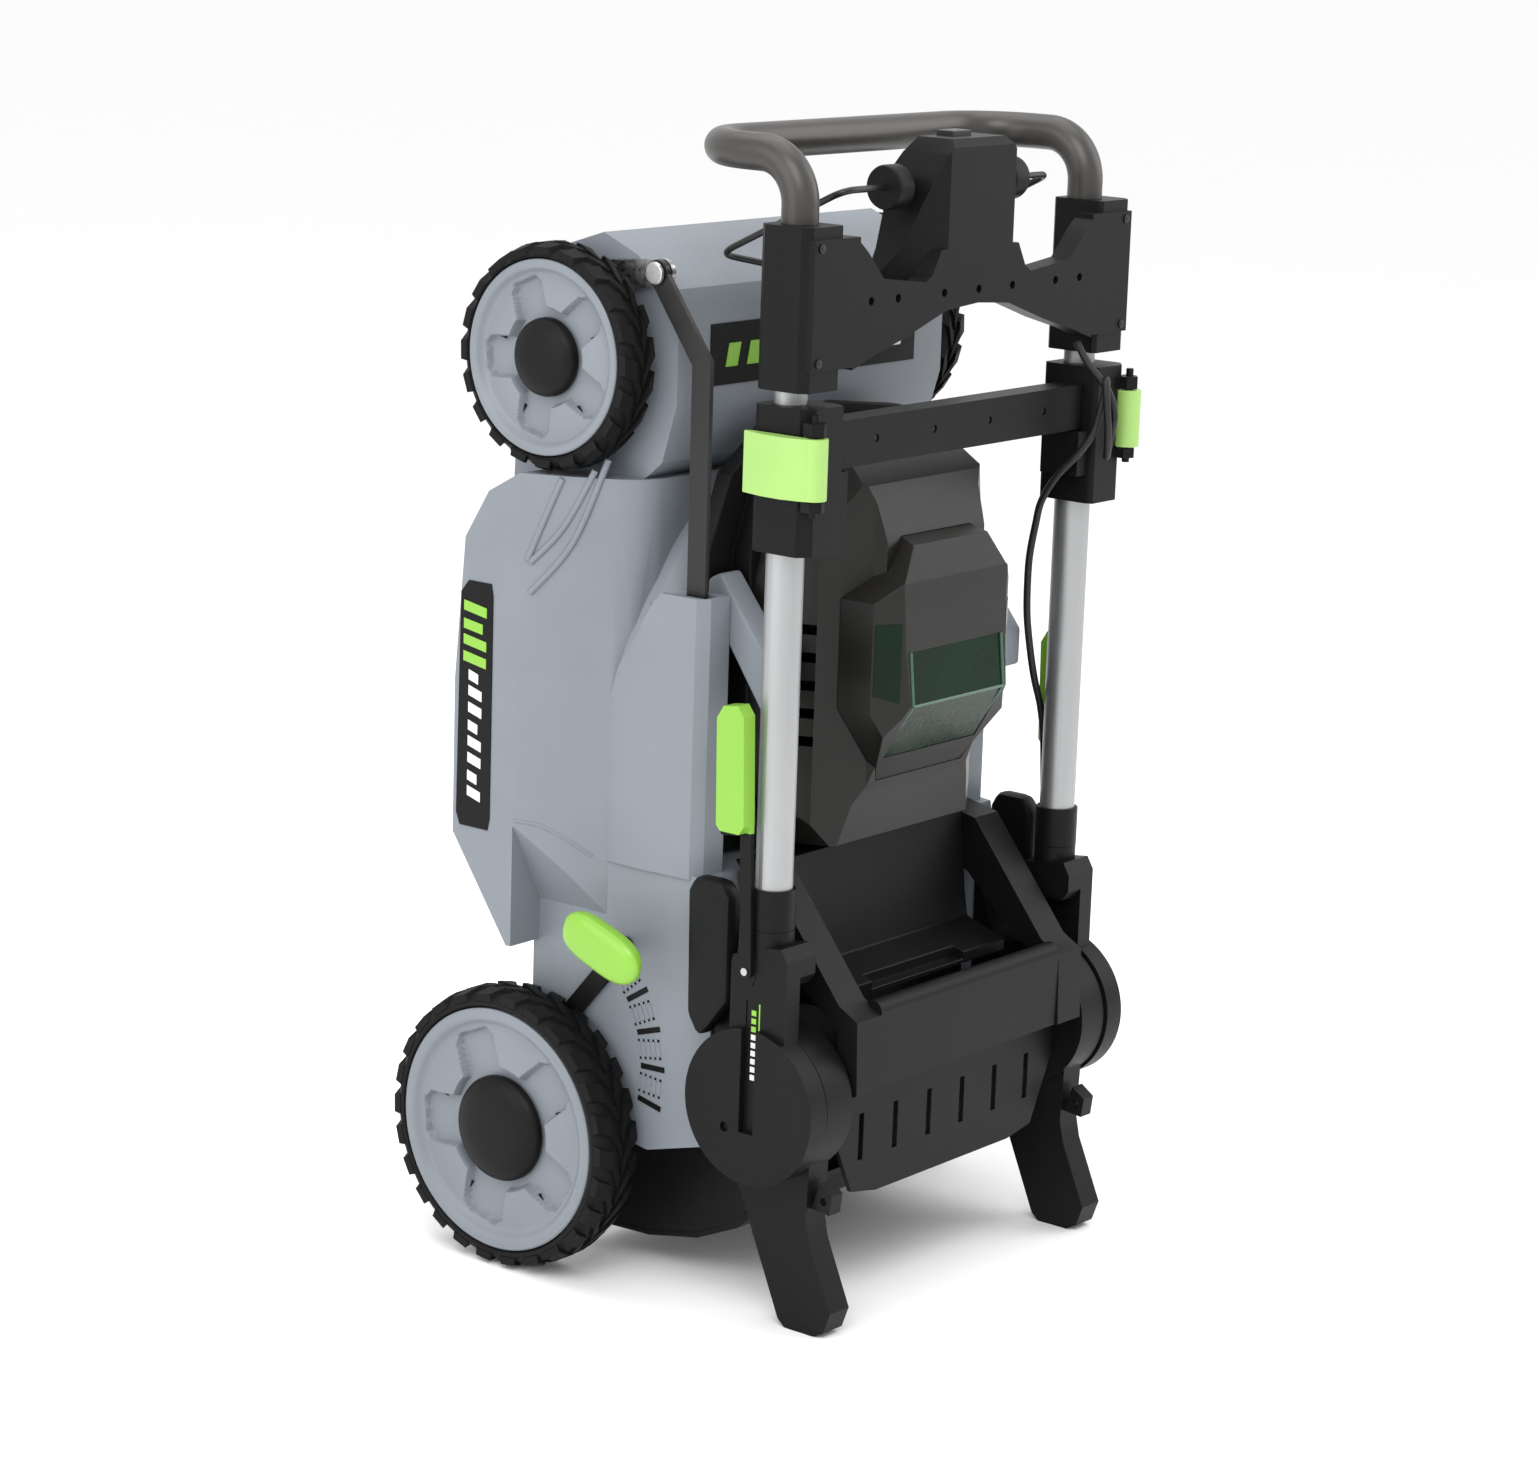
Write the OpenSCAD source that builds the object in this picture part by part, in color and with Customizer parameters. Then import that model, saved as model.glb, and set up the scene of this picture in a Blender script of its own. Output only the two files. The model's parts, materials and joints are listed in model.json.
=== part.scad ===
// Cordless push lawn mower, standing on its rear wheels and stand feet, handle folded over the deck.
// X = mower's width (+X is its right side), -Y = the deck's top side, +Z = the mower's front, floor at z = 0.

/* [Display] */
// Node to draw, or all of them

/* [Wheels] */
// Rear tyre radius
rear_tyre_r = 114.3; // [80:1:150]
// Rear tyre width
rear_tyre_w = 46; // [30:1:60]
// Front tyre radius
front_tyre_r = 88; // [60:1:120]
// Front tyre width
front_tyre_w = 36; // [24:1:50]
// Distance between the outer faces of the two rear rims
rear_track = 476.8; // [440:1:520]
// Distance between the outer faces of the two front rims
front_track = 432; // [430:1:520]
// Height of the rear wheel centre's offset from the deck top datum, towards the ground side
rear_wheel_y = 76; // [60:1:90]
// Front wheel centre's offset towards the ground side
front_wheel_y = 63; // [50:1:80]
// Distance from rear to front wheel centre along the mower
wheelbase = 616.7; // [560:1:680]
// Radius of the stub axles
axle_r = 6; // [4:0.5:8]

/* [Deck] */
// Overall width of the deck's skirt
deck_width = 444; // [420:2:460]
// Thickness of the deck's moulded walls
wall = 4; // [3:0.5:6]
// Radius of the raised dome over the blade
dome_r = 186; // [160:1:190]
// Height of the blade's axis along the mower
blade_z = 456; // [440:1:470]
// Length of the blade from tip to tip
blade_length = 410; // [300:5:416]

/* [Handle] */
// Distance between the centre lines of the two handle tubes
tube_spacing = 373.2; // [366:1:380]
// Outer radius of the lower tubes
lower_tube_r = 14.5; // [12:0.5:16]
// Wall thickness of the lower tubes
tube_wall = 1.6; // [1:0.1:2]
// Height of the lower tubes' top ends
tube_top_z = 712; // [650:1:715]
// How far the handle telescopes out
telescope_travel = 250; // [150:5:260]
// Radius of the handlebar's tube
bar_r = 14; // [11:0.5:15]
// Height of the folded handlebar's grip
grip_z = 900; // [890:1:960]
// Radius of the round fold joint
fold_r = 62; // [55:1:62]

/* [Battery] */
// Width of the battery pack
battery_width = 108; // [80:1:112]
// Length of the battery pack along the mower
battery_length = 138; // [100:1:140]

/* [Hidden] */
$fn = 64;
// Moves the model so that its footprint is centred on the origin.
centre_shift = 16.35;
run = 0.05;
air = 0.4;

rear_z = rear_tyre_r;
front_z = rear_z + wheelbase;
rear_x = rear_track / 2;
front_x = front_track / 2;
skirt_x = deck_width / 2;
tube_x = tube_spacing / 2;
tube_y = -158;
// Round space that the blade turns in.
chamber_r = blade_length / 2 + 12.5;
upper_tube_r = lower_tube_r - tube_wall - 0.4;

rear_at = [rear_wheel_y, rear_z];
front_at = [front_wheel_y, front_z];
// Flat side walls of the deck behind the rear wheels, and of its nose behind the front wheels.
well_x = rear_x - rear_tyre_w - 4.9;
nose_x = front_x - front_tyre_w - 12;
rear_rim_r = rear_tyre_r - 15.5;
front_rim_r = front_tyre_r - 12.5;
rear_cap_r = 44;
front_cap_r = 31.5;

// Height adjuster: each crank carries its wheel below the pivot and the link rod's pin above it.
adjuster_r = 9;
rod_inner = well_x - 12.2;
rod_thickness = 4.5;
rod_pin_r = 5;
crank_wheel = [6, -62];
crank_pin = [-77, 8];
rear_pivot = [rear_wheel_y - crank_wheel[0], rear_z - crank_wheel[1]];
front_pivot = [front_wheel_y - crank_wheel[0], front_z - crank_wheel[1]];

// Fold joint of the handle, and the two levers that lock it.
fold_y = -156;
fold_z = 179;
lever_pin = [-150, 286];

lid_hinge = [-166, 592];
door_hinge = [-128, 92];
bail_pivot = [-158, 872];
cam_pin = [204, -196];

// Cable: from the console down past the clamp in a spare loop, then behind the right tube to its gland.
cable_r = 3;
cable_gland = [196, -139];
cable_route = [
    [150, -180, 740], [152, -190, 724], [158, -206, 704], [164, -210, 684], [164, -207, 664],
    [162, -206, 650], [158, -209, 658], [154, -211, 676], [152, -210, 696], [154, -207, 712],
    [160, -204, 706], [157, -202, 690], [152, -198, 668], [146, -188, 650], [144, -170, 630],
    [150, -153, 608], [152, -147, 588], [150, -144, 562], [149, -144, 537], [152, -143, 512],
    [161, -141, 484], [172, -139, 457], [184, -138, 432], [192, -137, 406], [195, -137, 378],
    [196, -138, 350], [196, -139, 322], [196, -139, 298]
];

deck_grey = [0.58, 0.61, 0.65];
black = [0.14, 0.14, 0.145];
lime = [0.58, 0.8, 0.28];
steel = [0.7, 0.71, 0.72];

module place() {
    translate([0, centre_shift, 0]) children();
}

// Draws a right-hand piece, or its mirror image on the left.
module on_side(side) {
    if (side > 0) children();
    else mirror([1, 0, 0]) children();
}

module both_sides() {
    children();
    mirror([1, 0, 0]) children();
}

module rod_x(r, x0, x1, at) {
    translate([x0, at[0], at[1]]) rotate([0, 90, 0]) cylinder(r = r, h = x1 - x0);
}

module rod_y(r, y0, y1, x, z) {
    translate([x, y0, z]) rotate([-90, 0, 0]) cylinder(r = r, h = y1 - y0);
}

module rod_z(r, z0, z1, x, y) {
    translate([x, y, z0]) cylinder(r = r, h = z1 - z0);
}

// A plate whose outline is given in Y and Z, between two X positions.
module side_plate(points, x0, x1) {
    translate([x0, 0, 0]) rotate([90, 0, 90]) linear_extrude(height = x1 - x0) polygon(points);
}

// A plate whose outline is given in X and Z, between two Y positions.
module top_plate(points, y0, y1) {
    translate([0, y1, 0]) rotate([90, 0, 0]) linear_extrude(height = y1 - y0) polygon(points);
}

// A bar whose outline is given in X and Y, between two heights.
module long_bar(points, z0, z1) {
    translate([0, 0, z0]) linear_extrude(height = z1 - z0) polygon(points);
}

module box(low, high) {
    translate(low) cube(high - low);
}

// Flat bar from one point to another in the Y and Z plane, with round ends a little wider than the bar.
module link_bar(a, b, width, x0, x1) {
    length = norm(b - a);
    turn = atan2(b[1] - a[1], b[0] - a[0]);
    rod_x(width / 2, x0, x1, a);
    rod_x(width / 2, x0, x1, b);
    translate([x0, a[0], a[1]]) rotate([turn, 0, 0]) translate([0, 0, -width * 0.485])
        cube([x1 - x0, length, width * 0.97]);
}

// Closes a half outline with its mirror image.
function mirrored(half) = concat(half,
    [for (i = [len(half) - 1 : -1 : 0]) if (half[i][0] > 0) [-half[i][0], half[i][1]]]);

// ---- Deck ----

deck_section = mirrored([[skirt_x, 150], [skirt_x, 76], [skirt_x - 18, 36], [skirt_x - 34, 8],
    [skirt_x - 46, -5], [skirt_x - 62, -12], [skirt_x - 122, -14]]);
deck_side_view = [[-50, 262], [83, 262], [142, 345], [142, 470], [133, 584], [109, 623], [77, 641],
    [-50, 641]];

module wide_body() {
    intersection() {
        long_bar(deck_section, 240, 650);
        side_plate(deck_side_view, -skirt_x - 1, skirt_x + 1);
    }
}

// Recess above each rear wheel, where the deck's side slopes inwards.
module wheel_well() {
    top_plate([[well_x, 240], [well_x, 296], [skirt_x + 2, 364], [skirt_x + 2, 240]], -60, 78);
}

module front_nose() {
    side_plate([[133, 590], [130, front_z - 51], [96, front_z + 69], [86, front_z + 81], [44, front_z + 95],
        [10, front_z + 81], [-25, front_z + 57], [-33, front_z + 31], [-33, front_z - 31], [-20, 655],
        [10, 630]], -nose_x, nose_x);
}

module front_nose_hollow() {
    side_plate([[150, 590], [150, front_z - 55], [126, front_z - 53], [92, front_z + 66], [83, front_z + 77],
        [44, front_z + 90], [12, front_z + 76], [-21, front_z + 54], [-28.5, front_z + 30],
        [-28.5, front_z - 30], [-16, 657], [10, 634], [20, 600]], -nose_x + wall, nose_x - wall);
}

module rear_body() {
    side_plate([[84, 300], [84, 132], [-40, 113], [-101, 130], [-101, 290], [-90, 342], [-44, 346],
        [0, 358], [77, 364]], -well_x, well_x);
}

// Discharge tunnel behind the blade, open to the back and to the ground side.
module tunnel() {
    side_plate([[120, 330], [120, 100], [-94, 100], [-94, 300], [-40, 330]], -160, 160);
}

// Channel that the link rod runs in, from the cover down to the rear crank.
module rod_channel() {
    side_plate([[-80, 580], [-14, 580], [-14, 400], [20, 330], [100, 260], [100, 90], [-10, 90], [-30, 150],
        [-62, 300], [-80, 340]], rod_inner - 6.8, rod_inner + 8.7);
}

module rod_cover() {
    intersection() {
        translate([rod_inner, 0, 0])
            long_bar([[-17, 12], [-17, -84], [6, -84], [14, -76], [16, -26], [15, 0], [13, 12]], 340, 560);
        side_plate([[12, 340], [12, 462], [0, 496], [-18, 524], [-34, 552], [-42, 560], [-84, 560],
            [-84, 340]], 150, skirt_x);
    }
}

module deck() {
    color(deck_grey) difference() {
        union() {
            difference() {
                union() {
                    difference() {
                        wide_body();
                        both_sides() wheel_well();
                    }
                    rod_y(dome_r, -22, 30, 0, blade_z + 12);
                    translate([0, -22, blade_z + 12]) rotate([90, 0, 0])
                        cylinder(r1 = dome_r, r2 = dome_r - 18, h = 23);
                    front_nose();
                    rear_body();
                    both_sides() rod_cover();
                }
                // Blade chamber and the hollow of the dome.
                rod_y(chamber_r, 78, 200, 0, blade_z);
                translate([0, 19, blade_z]) rotate([-90, 0, 0])
                    cylinder(r1 = dome_r - 6, r2 = chamber_r, h = 59.5);
                rod_y(dome_r - 6, -18, 20, 0, blade_z + 8);
                rod_y(dome_r - 22, -40, -17, 0, blade_z + 8);
                front_nose_hollow();
                tunnel();
            }
            // Boss for the motor.
            rod_y(70, -40, -14, 0, blade_z);
        }
        rod_y(52, -60, 0, 0, blade_z);
        both_sides() rod_channel();
        // Bores for the two height adjuster shafts.
        rod_x(adjuster_r + run, -skirt_x - 20, skirt_x + 20, rear_pivot);
        rod_x(adjuster_r + run, -skirt_x - 20, skirt_x + 20, front_pivot);
    }
}

module struts() {
    color(deck_grey) both_sides() intersection() {
        side_plate([[-60, 570], [-72, 576], [-134, 500], [-134, 470], [-120, 468], [-60, 552]], 132, 157.5);
        box([132, -140, 400], [157.5, -44, 580]);
    }
}

module badges() {
    color(black) {
        both_sides() side_plate([[138, 362], [134, 352], [104, 352], [102, 362], [102, 540],
            [104, 550], [128, 550],
            [136, 540]], skirt_x, skirt_x + 1);
        box([-130, -34, front_z - 19], [130, -33, front_z + 29]);
    }
}

// ---- Motor, battery and their black housings ----

module motor_base() {
    color(black) difference() {
        union() {
            top_plate(mirrored([[0, 348], [128, 348], [154, 380], [156.5, 590], [132, 648], [84, 682],
                [0, 692]]),
                -60, -45);
            top_plate(mirrored([[0, 352], [112, 352], [128, 390], [128, 588], [108, 640], [70, 668],
                [0, 676]]),
                -78, -60);
        }
        rod_y(60, -80, -40, 0, blade_z);
        top_plate(mirrored([[0, 366], [100, 366], [116, 396], [116, 582], [100, 630], [66, 654], [0, 662]]),
            -79, -52);
    }
}

// Outside of the hood, cut from its three views.
module hood_form(inset) {
    intersection() {
        side_plate([[-78, 676 - inset], [-106 + inset, 668 - inset], [-130 + inset, 656 - inset],
            [-146 + inset, 643 - inset], [-157 + inset, 610 - inset], [-160 + inset, 600],
                [-160 + inset, 430],
            [-144 + inset, 392], [-138 + inset, 360 + inset], [-78, 352 + inset]], -130, 130);
        long_bar(mirrored([[124 - inset, -76], [118 - inset, -96], [104 - inset, -126], [66 - inset, -150],
            [60 - inset, -170]]), 340, 690);
        top_plate(mirrored([[0, 352], [84 - inset, 352], [118 - inset, 396], [124 - inset, 440],
            [124 - inset, 560], [112 - inset, 600], [78 - inset, 640], [62 - inset, 680],
                [0, 680]]), -170, -70);
    }
}

// Outside of the battery lid, which stands proud of the hood.
module lid_form(inset) {
    intersection() {
        side_plate([[-134, 590], [-142 + inset, 600 - inset], [-160, 603 - inset],
            [-174 + inset, 598 - inset],
            [-181 + inset, 570], [-183 + inset, 518], [-188 + inset, 475], [-158 + inset, 424 + inset],
            [-143 + inset, 394 + inset], [-134, 394 + inset]], -100, 100);
        long_bar(mirrored([[90 - inset, -133], [88 - inset, -168], [66 - inset, -182 + inset],
            [62 - inset, -190]]), 380, 620);
        top_plate(mirrored([[0, 610], [40, 610 - inset], [66 - inset, 572], [88 - inset, 556 - inset],
            [88 - inset, 470], [64 - inset, 424 + inset], [44 - inset, 392 + inset],
                [0, 392 + inset]]), -200, -130);
    }
}

window_low = [-60, -230, 430];
window_high = [60, -140, 517];

module motor_hood() {
    color(black) difference() {
        hood_form(0);
        difference() {
            hood_form(wall);
            box([-130, -200, 340], [130, -180, 366]);
        }
        box([-112, -79, 362], [112, -60, 636]);
        // Opening for the battery, and room for the lid and its hinge.
        box([-56, -180, 428], [56, -120, 584]);
        lid_form(-air);
        rod_x(5 + air, -44 - air, 44 + air, lid_hinge);
        // Air slots in both flanks.
        both_sides() for (k = [0 : 4])
            translate([100, -126, 440 + k * 22]) cube([40, 30, 8]);
    }
}

module battery_lid() {
    color(black) difference() {
        union() {
            lid_form(0);
            rod_x(5, -44, 44, lid_hinge);
        }
        difference() {
            union() {
                lid_form(wall);
                box([-50, -150, 400], [50, -130, 580]);
            }
            rod_x(8, -50, 50, lid_hinge);
        }
        box(window_low, window_high);
    }
}

module lid_window() {
    color([0.05, 0.3, 0.14, 0.6]) intersection() {
        difference() {
            lid_form(0.6);
            lid_form(3);
        }
        box(window_low, window_high);
    }
}

module battery_pack() {
    color([0.2, 0.21, 0.22]) difference() {
        union() {
            box([-battery_width / 2, -136, 500 - battery_length / 2],
                [battery_width / 2, -88, 500 + battery_length / 2]);
            box([-30, -139, 446], [30, -136, 470]);
        }
        for (k = [-2 : 2])
            box([k * 18 - 2, -137, 486], [k * 18 + 2, -134, 552]);
    }
}

module motor() {
    color([0.3, 0.3, 0.31]) difference() {
        union() {
            rod_y(51.5, -82, -10, 0, blade_z);
            rod_y(34, -10, 14, 0, blade_z);
        }
        rod_y(8.05, -84, 20, 0, blade_z);
    }
}

module blade_shaft() {
    color(steel) difference() {
        union() {
            rod_y(8, -76, 98, 0, blade_z);
            rod_y(32, 90, 108, 0, blade_z);
        }
        rod_y(6, 92, 110, 0, blade_z);
    }
}

module blade() {
    color(steel) difference() {
        union() {
            box([-28, 108, blade_z - blade_length / 2], [28, 112, blade_z + blade_length / 2]);
            for (a = [0, 180])
                translate([0, 0, blade_z]) rotate([0, a, 0]) translate([0, 0, -blade_z])
                    long_bar([[-28, 108], [-34, 98], [-30, 97], [-24, 108]], blade_z + 130, blade_z + 200);
        }
        rod_y(6, 100, 120, 0, blade_z);
    }
}

module blade_bolt() {
    color(steel) {
        translate([0, 120, blade_z]) rotate([90, 0, 0]) cylinder(r = 11, h = 8, $fn = 6);
        rod_y(6, 92, 113, 0, blade_z);
    }
}

// ---- Rear housing, carrying frame and discharge door ----

module rear_housing() {
    color(black) difference() {
        side_plate([[-80, 349], [-111, 350], [-118, 284], [-122, 262], [-160, 250], [-160, 240],
            [-118, 236], [-118, 150], [-102, 150], [-102, 320], [-92, 347]], -117.5, 117.5);
        box([-60, -161, 244], [60, -150, 260]);
    }
}

module carry_arm() {
    side_plate([[-100, 340], [-90, 352], [-124, 345], [-196, 256], [-214, 246], [-216, 188], [-196, 180],
        [-196, 236], [-150, 270], [-118, 300], [-103, 300]], 118, 149.5);
}

module carry_frame() {
    color(black) difference() {
        union() {
            both_sides() carry_arm();
            long_bar([[-118.5, -214], [118.5, -214], [118.5, -196], [-118.5, -196]], 188, 246);
            rod_x(9, -118.5, 118.5, [-205, 247]);
        }
        box([-108, -204, 192], [108, -190, 238]);
    }
}

module louvre_panel() {
    color(black) difference() {
        union() {
            top_plate(mirrored([[0, 178], [146, 178], [146, 152], [120, 98], [88, 92],
                [0, 92]]), -192, -188);
            side_plate([[-192, 178], [-192, 174], [-120, 160], [-120, 164]], -146, 146);
        }
        for (x = [-110, -66, -22, 22, 66, 110])
            box([x - 3, -194, 122], [x + 3, -186, 160]);
    }
}

module rear_door() {
    color(black) {
        difference() {
            side_plate([[-122, 100], [-138, 92], [-130, 78], [-100, 52], [-60, 34], [-10, 24],
                [40, 22], [66, 30],
                [66, 34], [38, 26], [-10, 28], [-58, 38], [-97, 56], [-118, 76]], -146, 146);
            rod_x(3.2, -150, 150, door_hinge);
        }
    }
}

module door_pin() {
    color(steel) rod_x(3.1, -150, 150, door_hinge);
}

module bracket(side) {
    color(black) on_side(side) {
        difference() {
            union() {
                difference() {
                    rod_x(fold_r - 2, 154, 185, [fold_y, fold_z]);
                    box([150, -101.5, 100], [190, -60, 260]);
                }
                side_plate([[-101.5, 128], [-101.5, 285], [-128, 232], [-150, 178], [-140, 122]], 154, 185);
                side_plate([[-118, 96], [-124, 84], [-134, 84], [-148, 124], [-126, 138]], 147, 158.5);
                // Stand foot.
                side_plate([[-112, 140], [-132, 98], [-172, 6], [-179, 0], [-207, 0], [-217, 5], [-223, 22],
                    [-200, 74], [-196, 92], [-198, 140]], 158, 182);
            }
            rod_x(10.05, 150, 190, [fold_y, fold_z]);
            rod_x(3.15, 146, 152, door_hinge);
        }
        difference() {
            side_plate([[-196, 100], [-214, 98], [-216, 114], [-204, 122]], 162, 176);
            rod_x(3, 160, 180, [-208, 108]);
        }
    }
}

module bracket_cover(side) {
    color(black) on_side(side) difference() {
        side_plate([[-88, 338], [-94, 350], [-122, 350], [-130, 338], [-130, 256], [-112, 232],
            [-101.5, 222], [-90, 240]], 188, 206);
        rod_x(fold_r + 2, 187, 207, [fold_y, fold_z]);
    }
}

// ---- Handle ----

module swing_arm(side) {
    color(black) on_side(side) difference() {
        union() {
            rod_x(fold_r, 188, 208, [fold_y, fold_z]);
            rod_x(10, 150.5, 189, [fold_y, fold_z]);
            rod_x(13, 149, 153.5, [fold_y, fold_z]);
            side_plate([[-132, 232], [-132, 290], [-134, 296], [-180, 306], [-186, 296],
                [-186, 232]], 186, 203);
            side_plate([[-138, 280], [-138, 302], [-180, 308], [-186, 298], [-186, 284], [-180, 276],
                [-144, 276]],
                168, 203);
            rod_z(lower_tube_r + 2.5, 276, 318, tube_x, tube_y);
            side_plate([[-146, 274], [-154, 274], [-158, 286], [-154, 300], [-146, 300],
                [-141, 288]], 196, 204);
            if (side > 0) rod_z(cable_r + 2, 292, 306, cable_gland[0], cable_gland[1]);
        }
        if (side > 0) rod_z(cable_r + run, 298, 307, cable_gland[0], cable_gland[1]);
        rod_z(lower_tube_r, 290, 330, tube_x, tube_y);
        rod_x(3, 198, 210, lever_pin);
        // Slot that shows the latch.
        box([202, fold_y - 6, 158], [210, fold_y + 8, 262]);
        rod_x(4, 205, 210, [-134, 159]);
    }
}

module lever_pins() {
    color(steel) both_sides() rod_x(3, 198, 210, lever_pin);
}

module fold_lever(side) {
    color(lime) on_side(side) difference() {
        union() {
            link_bar([-150, 286], [-146, 400], 11, 204.4, 208.4);
            side_plate([[-124, 398], [-122, 480], [-128, 490], [-142, 492], [-148, 484], [-151, 400],
                [-146, 393],
                [-130, 391]], 203.6, 217);
        }
        rod_x(3.06, 200, 215, lever_pin);
    }
}

module lower_tube(side) {
    color(steel) on_side(side) difference() {
        rod_z(lower_tube_r, 291, tube_top_z, tube_x, tube_y);
        rod_z(lower_tube_r - tube_wall, 290, tube_top_z + 1, tube_x, tube_y);
    }
}

module tube_collars() {
    color(black) both_sides() difference() {
        rod_z(lower_tube_r + 2.7, 318, 350, tube_x, tube_y);
        rod_z(lower_tube_r, 317, 351, tube_x, tube_y);
    }
}

clamp_outline = [[166, -140], [204, -140], [208, -146], [208, -184], [198, -192], [166, -192], [163, -186],
    [163, -146]];

module clamp(side) {
    color(black) on_side(side) difference() {
        union() {
            long_bar(clamp_outline, 609, 719);
            // Ears that carry the cam lever's pin.
            long_bar([[194, -188], [209, -188], [211, -198], [204, -204], [195, -200]], 700, 710);
            long_bar([[194, -188], [209, -188], [211, -198], [204, -204], [195, -200]], 644, 652);
            long_bar([[150, -150], [165, -150], [165, -186], [150, -186]], 632, 668);
            rod_z(3, 640, 716, cam_pin[0], cam_pin[1]);
        }
        rod_z(lower_tube_r, 600, tube_top_z, tube_x, tube_y);
        rod_z(upper_tube_r + 0.1, 700, 730, tube_x, tube_y);
        // Clearance for the cam barrel and the lever.
        difference() {
            rod_z(11.5, 652, 700, cam_pin[0], cam_pin[1]);
            rod_z(3, 640, 716, cam_pin[0], cam_pin[1]);
        }
        box([206.8, -189, 652], [215, -139, 700]);
    }
}

module cam_lever(side) {
    color(lime) on_side(side) difference() {
        union() {
            rod_z(10, 653, 699, cam_pin[0], cam_pin[1]);
            long_bar([[207.4, -188], [207.4, -160], [208.6, -140], [211, -136], [214, -137], [219, -158],
                [220, -176], [216, -194], [210, -203], [204, -204], [207, -196]], 653, 699);
        }
        rod_z(3.06, 640, 720, cam_pin[0], cam_pin[1]);
    }
}

module cross_bar() {
    color(black) difference() {
        box([-162.5, -180, 669], [162.5, -158, 705]);
        box([-158, -175, 672], [158, -157, 702]);
        for (x = [-108.6, -35.8, 35.8, 108.6])
            rod_y(3, -182, -170, x, 688);
    }
}

// Round lead swept along its route, with eight sides.
module swept_lead(route, r) {
    n = len(route);
    sides = 8;
    points = [for (i = [0 : n - 1])
        let (ahead = route[min(i + 1, n - 1)] - route[max(i - 1, 0)],
            t = ahead / norm(ahead),
            u0 = cross(t, [1, 0.2, 0.1]),
            u = u0 / norm(u0),
            v = cross(t, u))
        for (k = [0 : sides - 1])
            route[i] + r * (u * cos(k * 45) + v * sin(k * 45))];
    walls = [for (i = [0 : n - 2], k = [0 : sides - 1])
        [i * sides + k, i * sides + (k + 1) % sides, (i + 1) * sides + (k + 1) % sides, (i + 1) * sides + k]];
    start = [for (k = [sides - 1 : -1 : 0]) k];
    end = [for (k = [0 : sides - 1]) (n - 1) * sides + k];
    polyhedron(points, concat(walls, [start, end]), convexity = 6);
}

module cable() {
    color(black) swept_lead(cable_route, cable_r);
}

module upper_tube(side) {
    color(steel) on_side(side) difference() {
        rod_z(upper_tube_r, 385, 780, tube_x, tube_y);
        rod_z(upper_tube_r - 1.5, 384, 781, tube_x, tube_y);
    }
}

module console_block() {
    difference() {
        union() {
            long_bar([[168, -140], [203, -140], [208, -146], [208, -180], [202, -187], [168, -187],
                [165, -184],
                [165, -143]], 730, 851);
            long_bar([[150, -172], [204, -172], [204, -190], [150, -190]], 746, 842);
        }
        rod_z(upper_tube_r, 720, 780, tube_x, tube_y);
        rod_z(bar_r, 782, 860, tube_x - 4, tube_y);
    }
}

// Switch tower above the beam: wide at the back, narrow at the front.
module switch_tower() {
    difference() {
        intersection() {
            top_plate(mirrored([[0, 800], [76, 800], [64, 824], [52, 868], [44, 896], [34, 908], [0, 908]]),
                -190, -138);
            long_bar(mirrored([[80, -138], [62, -164], [42, -190]]), 790, 910);
            side_plate([[-190, 790], [-138, 790], [-138, 884], [-152, 908], [-184, 908],
                [-190, 902]], -80, 80);
        }
        box([-40, -176, 812], [40, -142, 895]);
    }
}

module console() {
    color(black) difference() {
        union() {
            both_sides() console_block();
            top_plate(mirrored([[0, 783], [40, 780], [88, 764], [128, 753], [155, 744], [155, 842],
                [140, 830],
                [120, 809], [68, 803], [60, 808], [50, 826], [0, 826]]), -190, -172);
            switch_tower();
        }
        for (x = [-134.7, -101.8, -44, 0, 44, 101.8, 134.7])
            rod_y(3.2, -192, -178, x, 793.5);
        box([-12.4, -168.4, 880], [12.4, -151.6, 915]);
        rod_x(6.1, -90, 90, bail_pivot);
    }
}

module start_button() {
    color([0.2, 0.2, 0.21]) box([-12, -168, 890], [12, -152, 912]);
}

module handlebar() {
    leg_x = tube_x - 4;
    bend = 36;
    corner = 55;
    grip_y = -54;
    color([0.24, 0.235, 0.225]) {
        both_sides() {
            rod_z(bar_r, 782, grip_z - bend, leg_x, tube_y);
            translate([leg_x, tube_y + bend, grip_z - bend]) rotate([0, 0, 90]) rotate([90, 0, 0])
                rotate_extrude(angle = 90, start = 90) translate([bend, 0]) circle(r = bar_r);
            rod_y(bar_r, tube_y + bend, grip_y - corner, leg_x, grip_z);
            translate([leg_x - corner, grip_y - corner, grip_z])
                rotate_extrude(angle = 90, start = 0) translate([corner, 0]) circle(r = bar_r);
        }
        rod_x(bar_r, corner - leg_x, leg_x - corner, [grip_y, grip_z]);
    }
}

bail_points = [[72, -158, 872], [132, -158, 872], [134, -43, 815], [62, -56, 800], [-62, -56, 800],
    [-134, -43, 815], [-132, -158, 872], [-72, -158, 872]];

// Straight round wire between two points, with a ball at its end.
module wire(a, b, r) {
    d = b - a;
    translate(a) rotate([0, acos(d[2] / norm(d)), atan2(d[1], d[0])]) cylinder(r = r, h = norm(d), $fn = 24);
    translate(b) sphere(r = r * 1.1, $fn = 24);
}

module bail_wire() {
    color([0.1, 0.1, 0.1]) for (i = [0 : len(bail_points) - 2])
        wire(bail_points[i], bail_points[i + 1], 2.6);
}

module bail_hubs() {
    color(black) both_sides() {
        rod_x(17, 64, 84, bail_pivot);
        rod_x(6, 34, 64.5, bail_pivot);
    }
}

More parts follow.
